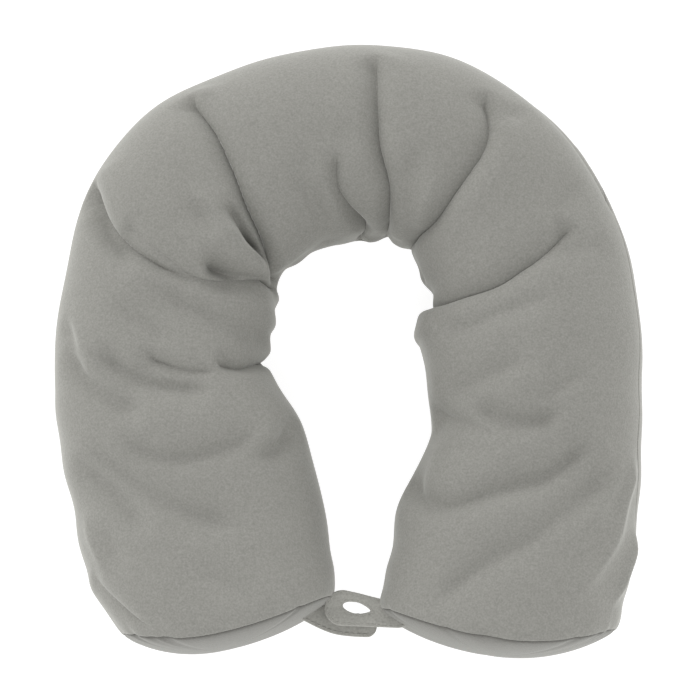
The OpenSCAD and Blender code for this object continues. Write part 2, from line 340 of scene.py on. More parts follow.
def trace(line):
    """A fold's line on the plain tube: the s and v of points on a smooth curve, about 1.5 mm apart."""
    v, s = np.array(line, float).T
    s = s * MM
    knots = place(s, v)
    at = distances(knots)
    fine = np.linspace(0, at[-1], max(12, int(at[-1] / (1.5 * MM))))
    return through(fine, at, s), through(fine, at, v)


def beside(points, s, v, line, margin=70 * MM):
    """Which points lie near a line, their signed distance from it (+ towards greater s), how far
    along it and past its end they are, and the direction from it towards greater s."""
    line_s, line_v = trace(line)
    turn = np.where(v > 0.8, v - 1, v)
    near = (s > line_s.min() - margin) & (s < line_s.max() + margin)
    near &= (turn > line_v.min() - 0.2) & (turn < line_v.max() + 0.2)
    where = np.nonzero(near)
    line_points = place(line_s, line_v)
    along, _, outward = axes(line_s, line_v)
    tangent = unit(np.gradient(line_points, axis=0))
    side = unit(np.cross(outward, tangent))
    side *= np.sign((side * along).sum(-1))[:, None]
    at = distances(line_points)
    p = points[where]
    nearest = np.empty(len(p), int)
    for first in range(0, len(p), 20000):
        gap = p[first:first + 20000, None] - line_points[None]
        nearest[first:first + 20000] = (gap ** 2).sum(-1).argmin(1)
    gap = p - line_points[nearest]
    run = (gap * tangent[nearest]).sum(-1)
    across = (gap * side[nearest]).sum(-1)
    rest = np.sqrt(np.maximum((gap ** 2).sum(-1) - run ** 2, 0))
    return where, np.where(across < 0, -rest, rest), at[nearest] + run, at[-1], side[nearest]


def fold_sizes(fold, run, length):
    """A fold's depth and lap along its line, fading to 0 at both ends, and the share of the line passed."""
    first, last = (x * MM for x in fold["ends"])
    share = smooth(-first / 2, first / 2, run) * (1 - smooth(length - last / 2, length + last / 2, run))
    part = smooth(0, length, run)
    depth, lap = ((fold[key][0] * (1 - part) + fold[key][1] * part) * MM * share for key in ("depth", "lap"))
    return depth, lap, part


def fade_long(run, length, ends):
    """1 along a valley or ridge, fading mostly inside its two ends."""
    return smooth(-ends / 2, ends, run) * (1 - smooth(length - ends, length + ends / 2, run))


def soft_shift(points, s, v):
    """How far the broad parts of the folds, and their knobs, move each point inward."""
    into = np.zeros_like(s)
    for fold in FOLDS:
        where, d, run, length, _ = beside(points, s, v, fold["line"])
        depth, _, part = fold_sizes(fold, run, length)
        d = d * fold.get("over", 1)
        narrow = 1 - 0.6 * part ** 2
        under = np.exp(-(np.minimum(d, 0) / (fold["dip"] * MM * narrow)) ** 2)
        over = (1 + PUFF) * np.exp(-(np.maximum(d, 0) / (FALL * narrow)) ** 2) - PUFF
        over *= np.exp(-(np.maximum(d - 2 * FALL, 0) / (14 * MM)) ** 2)
        into[where] += BROAD_SHARE * depth * np.where(d > 0, over, under)
        start = np.exp(-((run - 1 * MM) ** 2 + (d - FALL) ** 2) / FALL ** 2)
        into[where] -= fold.get("knob", 0) * MM * start
    return into


def crisp_shift(points, s, v):
    """The sharp parts of the folds, the valleys and the ridges: how far each point moves inward, and its
    sideways move."""
    into = np.zeros_like(s)
    move = np.zeros(s.shape + (3,))
    for fold in FOLDS:
        where, d, run, length, side = beside(points, s, v, fold["line"], 30 * MM)
        depth, lap, part = fold_sizes(fold, run, length)
        d = d * fold.get("over", 1)
        size = np.sqrt(d * d + CUSP ** 2) - CUSP
        reach = np.where(d > 0, 3.0, 6.0) * MM * (1 - 0.5 * part ** 2)
        into[where] += SHARP_SHARE * depth * np.exp(-size / reach)
        lip = 3.2 * MM * (1 - 0.4 * part ** 2)
        lean = np.where(d > 0, d / lip * np.exp(1 - d / lip), 0)
        move[where] -= side * (fold.get("over", 1) * lap * lean)[:, None]
    for line, height, before, after, ends in SWELLS:
        where, d, run, length, _ = beside(points, s, v, line, 40 * MM)
        size = np.sqrt(d * d + SOFT ** 2) - SOFT
        width = np.where(d < 0, before, after) * MM
        into[where] -= SWELL * height * MM * np.exp(-size / width) * fade_long(run, length, ends * MM)
    return into, move


def ripples(s, v):
    """Seeded small-scale unevenness: soft waves all over, and gathers on the inner side of the bend."""
    rng = np.random.default_rng(7)
    out = np.zeros_like(s)
    turn = 2 * pi * v
    for wave, size, count in ((110, 1.0, 7), (46, 0.35, 8)):
        for _ in range(count):
            k = 2 * pi / (wave * MM * rng.uniform(0.7, 1.4))
            phase = k * s + rng.integers(-2, 3) * turn + rng.uniform(0, 6.3)
            out += size * MM * rng.uniform(0.4, 1) * np.sin(phase) / 2
    bend = smooth(-LEFT_ARM_S - 20 * MM, -LEFT_ARM_S + 40 * MM, s)
    bend = bend * (1 - smooth(RIGHT_ARM_S - 40 * MM, RIGHT_ARM_S + 20 * MM, s))
    below = smooth(0.46, 0.53, v) * (1 - smooth(0.62, 0.78, v)) * bend
    edge = np.exp(-((v - 0.47) / 0.06) ** 2)
    for _ in range(9):
        k = 2 * pi / (48 * MM * rng.uniform(0.6, 1.4))
        wave = np.sin(k * s + rng.normal() * 0.8 * turn + rng.uniform(0, 6.3))
        out += MM * (0.5 * below + 0.22 * edge) * wave
    return out


def grid_normals(grid, closed=False):
    """Outward normals of a grid of points: rows along the tube, and points round it."""
    du = np.gradient(grid, axis=0)
    dv = np.roll(grid, -1, 1) - np.roll(grid, 1, 1) if closed else np.gradient(grid, axis=1)
    return unit(np.cross(dv, du))


# ---- Cloth: the beads blow the tube up, which rounds the folds ----
def blur(field, rows, columns):
    """A field over the grid, averaged over that many rows and columns, twice."""
    for _ in range(2):
        for axis, width in ((0, rows), (1, columns)):
            pad = [(0, 0)] * field.ndim
            pad[axis] = (width, width)
            wide = np.pad(field, pad, "edge" if axis == 0 else "wrap")
            total = np.cumsum(wide, axis=axis)
            size = field.shape[axis]
            ahead = np.take(total, np.arange(size) + width + width // 2, axis=axis)
            behind = np.take(total, np.arange(size) + width - width // 2 - 1, axis=axis)
            field = (ahead - behind) / (2 * (width // 2) + 1)
    return field


def inflate(grid, frames=16, pressure=4.0, share=0.4, cap=8 * MM):
    """The grid after a cloth simulation with pressure inside. The tube's overall drift is taken
    out, so that its outline stays where it was and the folds and panels round off."""
    rows, around, _ = grid.shape
    inside = grid[1:-1].reshape(-1, 3)
    poles = np.array([grid[0, 0], grid[-1, 0]])
    points = np.concatenate([inside, poles])
    faces = grid_faces(rows - 2, around)
    last = (rows - 3) * around
    for k in range(around):
        faces.append((len(inside), (k + 1) % around, k))
        faces.append((len(inside) + 1, last + k, last + (k + 1) % around))
    obj = mesh_object("inflating", points, faces)
    cloth = obj.modifiers.new("Cloth", "CLOTH")
    settings = cloth.settings
    settings.quality = 5
    settings.mass = 0.3
    settings.tension_stiffness = 25
    settings.compression_stiffness = 25
    settings.shear_stiffness = 8
    settings.bending_stiffness = 0.8
    settings.air_damping = 3
    settings.use_pressure = True
    settings.uniform_pressure_force = pressure
    settings.effector_weights.gravity = 0
    cloth.collision_settings.use_collision = False
    cloth.collision_settings.use_self_collision = False
    cloth.point_cache.frame_start = 1
    cloth.point_cache.frame_end = frames
    for f in range(1, frames + 1):
        bpy.context.scene.frame_set(f)
    done = obj.evaluated_get(bpy.context.evaluated_depsgraph_get()).to_mesh()
    flat = np.empty(len(points) * 3)
    done.vertices.foreach_get("co", flat)
    moved = (flat.reshape(-1, 3) - points)[:-2].reshape(rows - 2, around, 3)
    bpy.context.scene.frame_set(1)
    bpy.data.objects.remove(obj)
    moved = moved - blur(moved, 29, 25)
    far = np.linalg.norm(moved, axis=-1, keepdims=True)
    moved *= share * cap / np.maximum(far, 1e-9) * np.tanh(far / cap)
    fade_in = smooth(0, 10, np.minimum(np.arange(rows - 2), np.arange(rows - 2)[::-1]))
    out = grid.copy()
    out[1:-1] += moved * fade_in[:, None, None]
    return out


def refine(grid):
    """One step of cubic B-spline subdivision. The end rows, which are single points, stay."""
    around = np.roll(grid, -1, 1)
    before = np.roll(grid, 1, 1)
    fine = np.empty((grid.shape[0], grid.shape[1] * 2, 3))
    fine[:, 0::2] = (before + 6 * grid + around) / 8
    fine[:, 1::2] = (grid + around) / 2
    out = np.empty((fine.shape[0] * 2 - 1, fine.shape[1], 3))
    out[1::2] = (fine[:-1] + fine[1:]) / 2
    out[2:-1:2] = (fine[:-2] + 6 * fine[1:-1] + fine[2:]) / 8
    out[0] = fine[0].mean(0)
    out[-1] = fine[-1].mean(0)
    return out


def halfway(row_values):
    """Values for the rows of a refined grid."""
    count = len(row_values)
    return np.interp(np.arange(2 * count - 1) / 2, np.arange(count), row_values)


# ---- Meshes ----
def fan(tip, first, count):
    """Triangles from the point tip to a ring of count points that starts at first."""
    return [(tip, first + (k + 1) % count, first + k) for k in range(count)]


def grid_faces(rows, around, closed=True, base=0):
    """Quads of a grid, in outward order."""
    i = np.arange(rows - 1)[:, None] * around
    k = np.arange(around if closed else around - 1)[None]
    ahead = (k + 1) % around
    quads = np.stack([i + k, i + ahead, i + around + ahead, i + around + k], -1)
    return (quads.reshape(-1, 4) + base).tolist()


def mesh_object(name, points, faces, normals=None):
    mesh = bpy.data.meshes.new(name)
    mesh.from_pydata(np.asarray(points).tolist(), [], faces)
    mesh.polygons.foreach_set("use_smooth", [True] * len(mesh.polygons))
    mesh.update()
    if normals is not None:
        mesh.normals_split_custom_set_from_vertices(np.asarray(normals).tolist())
    obj = bpy.data.objects.new(name, mesh)
    bpy.context.scene.collection.objects.link(obj)
    return obj


def dress(obj, material, body=None):
    """Material, material slot and, if it is rigid, the body that a piece rides on."""
    obj.data.materials.append(material)
    if body:
        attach(obj, body)
    return obj


# ---- The whole cover as one closed grid ----
def cover_grid():
    """The cover's surface, refined: its points and normals, their distances s along the tube, the plain
    tube's points and normals, and how far each point lies inside the plain tube."""
    s_row, shrink, push = tube_rows()
    u = np.arange(AROUND) / AROUND
    s = np.repeat(s_row[:, None], AROUND, 1)
    v = turns_at(s, np.broadcast_to(u, s.shape))
    base = place(s, v, shrink[:, None], push[:, None])
    normal = grid_normals(base, True)
    inside = np.zeros(len(s_row))
    inside[CAP_ROWS:-CAP_ROWS] = 1
    to_rim = np.minimum(s_row + LEFT_RIM_S, RIGHT_RIM_S - s_row)
    calm = (smooth(0, 22 * MM, to_rim) * inside)[:, None]
    zip_band = zip_reach(s) * np.exp(-((base[..., 2] - ZIP_Z) / (9 * MM)) ** 4)
    resting = smooth(0.66, 0.72, v) * (1 - smooth(0.84, 0.9, v))
    into = soft_shift(base, s, v)
    into -= ripples(s, v) * (1 - resting)
    grid = base - normal * (into * calm * (1 - zip_band))[..., None]
    for row in (0, -1):
        grid[row] = grid[row].mean(0)
    grid = inflate(grid)
    fine = refine(grid)
    s_row, shrink, push = (halfway(a) for a in (s_row, shrink, push))
    around = 2 * AROUND
    s = np.repeat(s_row[:, None], around, 1)
    v = turns_at(s, np.broadcast_to(np.arange(around) / around, s.shape))
    base = place(s, v, shrink[:, None], push[:, None])
    normal = grid_normals(base, True)
    into, move = crisp_shift(base, s, v)
    to_rim = np.minimum(s_row + LEFT_RIM_S, RIGHT_RIM_S - s_row)
    calm = smooth(0, 16 * MM, to_rim)[:, None]
    calm[:RIM] = 0
    calm[-RIM:] = 0
    fine = fine - normal * (into * calm)[..., None] + move * calm[..., None]
    fine = fine - normal * tucks(s_row, v)[..., None]
    fine[..., 2] = np.maximum(fine[..., 2], FLOOR_GAP)
    sunk = ((base - fine) * normal).sum(-1)
    return dict(points=fine, s=s, base=base, base_normal=normal, sunk=sunk,
                normal=grid_normals(fine, True))


def tucks(s_row, v):
    """Small pleats across the rim seams, where the end panels' fullness is eased in."""
    rng = np.random.default_rng(11)
    rows = np.arange(len(s_row))
    row_gap = 1.1 * MM
    into = np.zeros_like(v)
    for rim in (RIM, len(s_row) - 1 - RIM):
        sign = 1 if rim < len(s_row) / 2 else -1
        along = (rows - rim) * sign * row_gap
        for _ in range(13):
            at = rng.uniform(0, 1)
            deep = rng.uniform(0.3, 1.1) * MM
            wide = rng.uniform(0.006, 0.012)
            reach = rng.uniform(4, 11) * MM
            away = (v - at + 0.5) % 1 - 0.5
            into += deep * np.exp(-(away / wide) ** 2) * np.exp(-np.abs(along) / reach)[:, None]
    return into


# ---- Cutting the cover into its panels ----
def sample(grid, rows_at, columns_at):
    """The grid at fractional rows and columns, in straight lines between its points."""
    rows_at, columns_at = np.broadcast_arrays(rows_at[:, None], columns_at)
    r = np.clip(np.floor(rows_at).astype(int), 0, len(grid) - 2)
    c = np.floor(columns_at).astype(int)
    fr = rows_at - r
    fc = columns_at - c
    if grid.ndim == 3:
        fr, fc = fr[..., None], fc[..., None]
    n = grid.shape[1]
    first = grid[r, c % n] * (1 - fc) + grid[r, (c + 1) % n] * fc
    second = grid[r + 1, c % n] * (1 - fc) + grid[r + 1, (c + 1) % n] * fc
    return first * (1 - fr) + second * fr


NEAR_EDGE = np.array([0.04, 0.2, 0.42, 0.7, 1.05, 1.5, 2.1, 2.9, 3.9])  # steps in rows or columns


def steps_between(first, last):
    """Fractional steps from first to last, close together at both ends."""
    middle = np.arange(first + 5, last - 4)
    return np.concatenate([first + NEAR_EDGE, middle, (last - NEAR_EDGE)[::-1]])


EDGE_ROUND = 0.9 * MM  # radius over which a panel's edge rounds into its seam
HEM = 1.5 * MM  # how far the fabric is seen to turn in
POINT_GAP = 1.25 * MM  # mean distance of the refined grid's points


def edge_depth(steps):
    """How far a panel sinks at those steps from its edge."""
    d = np.clip(EDGE_ROUND - np.asarray(steps) * POINT_GAP, 0, EDGE_ROUND)
    return EDGE_ROUND - np.sqrt(EDGE_ROUND ** 2 - d ** 2)


def with_hem(grid, inward, axis):
    """The grid with its first and last line along axis turned in, by two more lines each."""
    def lines(a, i):
        return np.take(a, [i], axis=axis)

    turned = [lines(grid, 0) + lines(inward, 0) * HEM, lines(grid, 0) + lines(inward, 0) * HEM * 0.4]
    end = [lines(grid, -1) + lines(inward, -1) * HEM * 0.4, lines(grid, -1) + lines(inward, -1) * HEM]
    return np.concatenate([*turned, grid, *end], axis=axis)


SLOT = 4.2 * MM  # half the slot's height, as seen on the cover
SLOT_FADE = 9  # mesh lines over which the fabric beside the slot gives way


def zip_opening(s):
    """Share of the zip's slot that is open at distances s."""
    return smooth(-97 * MM, -91 * MM, s) * (1 - smooth(88 * MM, 94 * MM, s))


def panel_grid(cover, upper):
    """One of the two long panels, from rim to rim: its points and its normals."""
    fine, s, normal = cover["points"], cover["s"], cover["normal"]
    rows_at = steps_between(RIM, len(fine) - 1 - RIM)
    half = fine.shape[1] // 2
    steps = steps_between(0, half) if upper else steps_between(half, 2 * half)
    outer = steps if upper else 2 * half - steps
    s_rows = np.interp(rows_at, np.arange(len(s)), s[:, 0])
    slot = zip_opening(s_rows) * SLOT / (PERIMETER / (2 * half))
    shift = slot[:, None] * np.exp(-outer / SLOT_FADE)[None]
    columns_at = steps[None] + (shift if upper else -shift)
    grid = sample(fine, rows_at, columns_at)
    out = unit(sample(normal, rows_at, columns_at))
    from_side = np.minimum(steps - steps[0], steps[-1] - steps)
    from_rim = np.minimum(rows_at - rows_at[0], rows_at[-1] - rows_at)
    sink = np.maximum(edge_depth(from_side)[None], edge_depth(from_rim)[:, None])
    grid = grid - out * sink[..., None]
    inward = -out
    wide = with_hem(grid, inward, 1)
    inward = np.concatenate([inward[:, :1], inward[:, :1], inward, inward[:, -1:], inward[:, -1:]], 1)
    wide = with_hem(wide, inward, 0)
    wide[..., 2] = np.maximum(wide[..., 2], FLOOR_GAP)
    rows_s = np.concatenate([[s_rows[0]] * 2, s_rows, [s_rows[-1]] * 2])
    return wide, grid_normals(wide), rows_s


def panel(name, grid, normal, first, last, material):
    """The rows first to last of a long panel, as one piece."""
    part = grid[first:last]
    obj = mesh_object(name, part.reshape(-1, 3), grid_faces(*part.shape[:2], closed=False),
                      normal[first:last].reshape(-1, 3))
    return dress(obj, material)


def end_panel(name, cover, left, material, body):
    """The oval sewn into one end of the tube, with its edge turned in at the rim seam."""
    fine, normal = cover["points"], cover["normal"]
    steps = np.concatenate([NEAR_EDGE, np.arange(5, RIM)])
    rows_at = RIM - steps if left else len(fine) - 1 - RIM + steps
    columns_at = np.arange(fine.shape[1], dtype=float)[None]
    grid = sample(fine, rows_at, columns_at)
    out = unit(sample(normal, rows_at, columns_at))
    grid = grid - out * edge_depth(steps)[:, None, None]
    hem = [grid[:1] - out[:1] * HEM, grid[:1] - out[:1] * HEM * 0.4]
    grid = np.concatenate([*hem, grid])
    pole = fine[0, 0] if left else fine[-1, 0]
    count = grid.shape[1]
    points = np.concatenate([grid.reshape(-1, 3), pole[None]])
    faces = grid_faces(*grid.shape[:2])
    last = (len(grid) - 1) * count
    faces += [(last + k, last + (k + 1) % count, len(points) - 1) for k in range(count)]
    if not left:
        faces = [f[::-1] for f in faces]
    faces = [f[::-1] for f in faces]
    return dress(mesh_object(name, points, faces), material, body)


# ---- Inside the cover: the liner and the beads ----
def inner_grid(cover, inset):
    """A smooth tube inside the cover that stays clear of its deepest folds by inset."""
    deep = np.maximum(cover["sunk"], 0)
    for axis in (0, 1):
        deep = np.max([np.roll(deep, k, axis) for k in range(-8, 9)], axis=0)
    deep = blur(deep, 7, 7)
    points = cover["base"] - cover["base_normal"] * (deep + inset)[..., None]
    points[..., 2] = np.maximum(points[..., 2], inset)
    for end, ahead in ((slice(0, RIM), RIM), (slice(-RIM, None), -1 - RIM)):
        middle = points[ahead].mean(0)
        points[end] = points[end] * (1 - inset / TUBE_W) + middle * inset / TUBE_W
    return points[::3, ::2]


def inner_half(name, points, left, closed, material):
    """The left or right half of an inner tube: open at the crown's middle, or closed there."""
    middle = len(points) // 2
    part = points[1:middle + 1] if left else points[middle:-1][::-1]
    tip = (points[0] if left else points[-1]).mean(0)
    rows, count, _ = part.shape
    poles = [tip, part[-1].mean(0)] if closed else [tip]
    all_points = np.concatenate([part.reshape(-1, 3), poles])
    faces = grid_faces(rows, count)
    base = rows * count
    faces += fan(base, 0, count)
    if closed:
        last = (rows - 1) * count
        faces += [(base + 1, last + k, last + (k + 1) % count) for k in range(count)]
    if not left:
        faces = [f[::-1] for f in faces]
    return dress(mesh_object(name, all_points, faces), material)


# ---- Tubes, ribbons and stitches ----
def even(path, gap):
    """A path again, with points at that distance."""
    at = distances(path)
    new = np.linspace(0, at[-1], max(2, int(round(at[-1] / gap)) + 1))
    return np.stack([np.interp(new, at, path[:, i]) for i in range(3)], -1)


def swept(path, side, up, outline):
    """Closed mesh of an outline ((across, up) points, or one such list for each path point) swept
    along a path with its own side and up directions."""
    outline = np.broadcast_to(outline, (len(path),) + np.shape(outline)[-2:])
    rings = path[:, None] + side[:, None] * outline[..., :1] + up[:, None] * outline[..., 1:]
    rows, count, _ = rings.shape
    points = np.concatenate([rings.reshape(-1, 3), [rings[0].mean(0), rings[-1].mean(0)]])
    faces = grid_faces(rows, count)
    base = rows * count
    last = base - count
    faces += fan(base, 0, count)
    faces += [(base + 1, last + k, last + (k + 1) % count) for k in range(count)]
    return points, faces


def round_outline(width, height, count=16, power=2.0):
    a = np.arange(count) / count * 2 * pi
    across = np.sign(np.cos(a)) * np.abs(np.cos(a)) ** (2 / power) * width / 2
    up = np.sign(np.sin(a)) * np.abs(np.sin(a)) ** (2 / power) * height / 2
    return np.stack([across, up], -1)


def tangent_of(path):
    return unit(np.gradient(path, axis=0))


def stitches(name, lines, material, length=2.1 * MM, gap=0.8 * MM, radius=0.24 * MM):
    """Thread along lines of (points, up directions): each stitch is a short arched piece of thread."""
    points, faces = [], []
    arch = np.array([-0.6, 0.35, 0.55, 0.35, -0.6])
    for path, up in lines:
        fine = even(path, length / 4)
        at = np.linspace(0, 1, len(path))
        fine_up = unit(np.stack([np.interp(np.linspace(0, 1, len(fine)), at, up[:, i])
                                 for i in range(3)], -1))
        step = 4 + max(1, round(gap / (length / 4)))
        for first in range(0, len(fine) - 4, step):
            part = fine[first:first + 5] + fine_up[first:first + 5] * (arch * radius)[:, None]
            ahead = tangent_of(part)
            side = unit(np.cross(ahead, fine_up[first:first + 5]))
            made, made_faces = swept(part, side, fine_up[first:first + 5],
                                     round_outline(2 * radius, 2 * radius, 6))
            base = sum(len(x) for x in points)
            points.append(made)
            faces += [tuple(base + i for i in f) for f in made_faces]
    return dress(mesh_object(name, np.concatenate(points), faces), material)


# ---- Zip: tapes and coils follow the cover's edge round the back ----
def zip_path(cover):
    """Points of the slot's middle round the back, just inside the cover, with outward directions."""
    angles = np.radians(np.arange(37, 144.01, 0.25))
    out = np.stack([np.cos(angles), np.sin(angles), np.zeros_like(angles)], -1)
    edge = cover["points"][RIM:-RIM, 0]
    rel = edge[:, :2] - np.array([0, BEND_Y])
    order = np.argsort(np.arctan2(rel[:, 1], rel[:, 0]))
    radius = np.interp(angles, np.arctan2(rel[:, 1], rel[:, 0])[order], np.hypot(*rel.T)[order])
    radius = np.minimum(radius, OUTER_R)
    return angles, radius, out


def zip_line(angles, radius, z):
    return np.stack([radius * np.cos(angles), BEND_Y + radius * np.sin(angles),
                     np.broadcast_to(z, angles.shape)], -1)


def zip_tape(name, cover, sign, material):
    angles, radius, out = zip_path(cover)
    middle, width, thick = 5.5 * MM, 7 * MM, 0.5 * MM
    path = zip_line(angles, radius - 1.55 * MM, ZIP_Z + sign * middle)
    up = np.broadcast_to([0.0, 0.0, 1.0], out.shape)
    points, faces = swept(path, up, -out, round_outline(width, thick, 12, 6))
    return dress(mesh_object(name, points, faces), material, "crown")


def zip_coil(name, cover, sign, material):
    """One side's coil: a thread wound in small turns, sewn along the edge of its tape."""
    angles, radius, _ = zip_path(cover)
    pitch, wind, thread = 1.5 * MM, 0.55 * MM, 0.24 * MM
    turns = (angles[-1] - angles[0]) * OUTER_R / pitch
    t = np.linspace(0, 1, int(turns * 10))
    angle = angles[0] + t * (angles[-1] - angles[0])
    r = np.interp(angle, angles, radius)
    turn = 2 * pi * turns * t + (pi if sign > 0 else 0)
    path = zip_line(angle, r - 1.35 * MM + 0.6 * wind * np.sin(turn),
                    ZIP_Z + sign * 1.15 * MM + 1.5 * wind * np.cos(turn))
    ahead = tangent_of(path)
    side = unit(np.cross(ahead, [0.3, 0.2, 1.0]))
    points, faces = swept(path, side, np.cross(side, ahead), round_outline(2 * thread, 2 * thread, 5))
    return dress(mesh_object(name, points, faces), material, "crown")


# ---- Straps ----
TAB_LINE = [(-28, -137.5, 42.5), (-21.7, -141, 42.3), (-13, -145.4, 42.0), (-5.7, -148.2, 42.0),
            (2, -149.3, 42.0), (9.3, -149.7, 42.0), (15.6, -149.7, 42.1)]
STRAP_W = 12.4 * MM
STRAP_T = 2 * MM
TAB_END_R = 5.5 * MM
HEM_STITCH = 1.5 * MM  # how far the stitching runs inside the tape's edge
PINCH = 0.25 * MM  # how deep it draws the tape in


def sewn_to(piece, joint_name):
    """Looks up the joint of the end panel that a strap piece is sewn to, and bakes the piece's transform
    into its mesh.
    """
    joint = next(j for j in frame["joints"] if j["name"] == joint_name)
    outward = Vector(joint["axis"]).cross((0, 0, 1))
    outward *= -1 if outward.y > 0 else 1
    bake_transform(piece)


def curve_through(points, gap=0.5 * MM):
    """A smooth path through points given in mm."""
    points = np.array(points, float) * MM
    padded = np.concatenate([2 * points[:1] - points[1:2], points, 2 * points[-1:] - points[-2:-1]])
    out = []
    for i in range(len(points) - 1):
        p0, p1, p2, p3 = padded[i:i + 4]
        x = np.linspace(0, 1, 20, endpoint=i == len(points) - 2)[:, None]
        out.append(0.5 * (2 * p1 + (p2 - p0) * x + (2 * p0 - 5 * p1 + 4 * p2 - p3) * x ** 2
                          + (3 * p1 - p0 - 3 * p2 + p3) * x ** 3))
    return even(np.concatenate(out), gap)


def strap_tab(material, thread):
    """The tab's flat tape with its rounded end, and a line of stitches along each edge."""
    path = curve_through(TAB_LINE)
    ahead = tangent_of(path)
    up = np.broadcast_to([0.0, 0.0, 1.0], path.shape)
    side = unit(np.cross(up, ahead))
    at = np.linalg.norm(path - path[-1], axis=1)
    left = np.clip(1 - at / TAB_END_R, 0, 1)
    width = STRAP_W * np.sqrt(1 - 0.998 * left ** 2)
    flat = STRAP_T * (1 - 0.35 * left ** 3)
    shape = round_outline(1, 1, 28, 4.5)
    pinch = PINCH * np.exp(-((np.abs(shape[:, 0]) - 0.37) / 0.05) ** 2)
    outline = np.stack([width[:, None] * shape[None, :, 0],
                        flat[:, None] * shape[None, :, 1] - pinch * np.sign(shape[:, 1])], -1)
    points, faces = swept(path, side, up, outline)
    tab = dress(mesh_object("strap_tab_tape", points, faces), material)
    sewn_to(tab, "left_tab_flex")
    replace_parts(tab, "strap_tab")
    keep = at > TAB_END_R * 0.6
    lines = []
    for sign in (-1, 1):
        inset = sign * (width / 2 - HEM_STITCH)[:, None]
        lines.append(((path + side * inset + up * (flat / 2 - 0.1 * MM)[:, None])[keep], up[keep]))
    sewn = stitches("strap_tab_stitches", lines, thread)
    sewn_to(sewn, "left_tab_flex")


LOOP_TIP = (-3.0, -141.0, 9.3)  # x, y and radius in mm of the loop's rounded end
LOOP_ROOT = (27.0, -145.0, 6.5)
EYE_MIDDLE = (4.7, -140.9)
EYE_LONG = 7.4  # half the eye's length and height, in mm
EYE_HIGH = 3.0
LOOP_Z = 47.9  # height of the loop's near side, and how far the eye and the rim rise on its far side
EYE_LIFT = 0.6
RIM_LIFT = 3.0


def loop_rings():
    """For directions round the eye: the eye's edge, the strap's outer edge, in mm."""
    a = np.arange(140) / 140 * 2 * pi
    lean = radians(-12)
    x = EYE_LONG * np.cos(a)
    y = EYE_HIGH * np.sin(a) * (1 - 0.5 * np.clip(np.cos(a), 0, 1) ** 1.5)
    eye = np.stack([EYE_MIDDLE[0] + x * cos(lean) - y * sin(lean),
                    EYE_MIDDLE[1] + x * sin(lean) + y * cos(lean)], -1)
    turn = np.linspace(0, 2 * pi, 721)[:-1]
    facing = np.stack([np.cos(turn), np.sin(turn)], -1)
    ends = np.array([LOOP_TIP, LOOP_ROOT])
    tip, root = (end[:2] + end[2] * facing for end in ends)
    tip_reach, root_reach = (facing @ end[:2] + end[2] for end in ends)
    hull = np.where((tip_reach >= root_reach)[:, None], tip, root)
    hull = np.concatenate([hull, hull[:1]])
    hull = even(np.column_stack([hull, np.zeros(len(hull))]), 0.3)[:-1, :2]
    rel = hull - EYE_MIDDLE
    polar = np.arctan2(rel[:, 1], rel[:, 0]) % (2 * pi)
    order = np.argsort(polar)
    polar = polar[order]
    around = np.concatenate([polar - 2 * pi, polar, polar + 2 * pi])
    far = np.interp(a, around, np.tile(np.hypot(*rel[order].T), 3))
    outer = np.stack([EYE_MIDDLE[0] + far * np.cos(a), EYE_MIDDLE[1] + far * np.sin(a)], -1)
    return a, eye, outer


def strap_loop(material, thread):
    """The loop's tape lies flat on its near side and stands a little on edge on its far side."""
    a, eye, outer = loop_rings()
    upper = np.clip(np.sin(a), 0, 1) ** 0.8
    inner = np.column_stack([eye, LOOP_Z + EYE_LIFT * upper]) * MM
    rim = np.column_stack([outer, LOOP_Z + RIM_LIFT * upper]) * MM
    middle = (inner + rim) / 2
    side = unit(rim - inner)
    half = np.linalg.norm(rim - inner, axis=1) / 2
    ahead = unit(np.roll(middle, -1, 0) - np.roll(middle, 1, 0))
    up = unit(np.cross(side, ahead))
    up *= np.sign(up[:, 2:])
    shape = round_outline(2, 1, 28, 3.2)
    from_edge = (1 - np.abs(shape[:, 0])) * half[:, None]
    pinch = PINCH * np.exp(-((from_edge - HEM_STITCH) / (0.5 * MM)) ** 2) * np.sign(shape[:, 1])
    rings = middle[:, None] + side[:, None] * (shape[:, 0] * half[:, None])[..., None]
    rings = rings + up[:, None] * (1.25 * STRAP_T * shape[:, 1] - pinch)[..., None]
    count = rings.shape[1]
    faces = grid_faces(len(rings), count)
    last = (len(rings) - 1) * count
    faces += [(last + k, last + (k + 1) % count, (k + 1) % count, k) for k in range(count)]
    loop = dress(mesh_object("strap_loop_tape", rings.reshape(-1, 3), faces), material)
    sewn_to(loop, "right_loop_flex")
    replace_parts(loop, "strap_loop")
    shown = np.degrees(a)
    lines = []
    for sign, first, last in ((1, 20, 345), (-1, 30, 335)):
        keep = (shown > first) & (shown < last)
        across = sign * (half - HEM_STITCH)[:, None]
        lines.append(((middle + side * across + up * (STRAP_T / 2 - 0.1 * MM))[keep], up[keep]))
    sewn = stitches("strap_loop_stitches", lines, thread)
    sewn_to(sewn, "right_loop_flex")


# ---- Camera, floor and light ----
def put(node, **values):
    """Sets a node's own sockets, named with _ for a space."""
    for name, value in values.items():
        node.inputs[name.replace("_", " ")].default_value = value


def look_at(obj, target):
    obj.rotation_euler = (Vector(target) - obj.location).to_track_quat("-Z", "Y").to_euler()


def camera():
    """The photograph's view: nearly straight down, with the tube's ends nearest."""
    view_width = 378 * MM
    distance = 1.6
    elevation = radians(80)
    target = Vector((1.2 * MM, -0.9 * MM, 40 * MM))
    data = bpy.data.cameras.new("camera")
    cam = bpy.data.objects.new("camera", data)
    bpy.context.scene.collection.objects.link(cam)
    cam.location = target + distance * Vector((0, -cos(elevation), sin(elevation)))
    look_at(cam, target)
    data.sensor_width = 36
    data.lens = data.sensor_width / 2 / (view_width / 2 / distance)
    bpy.context.scene.camera = cam


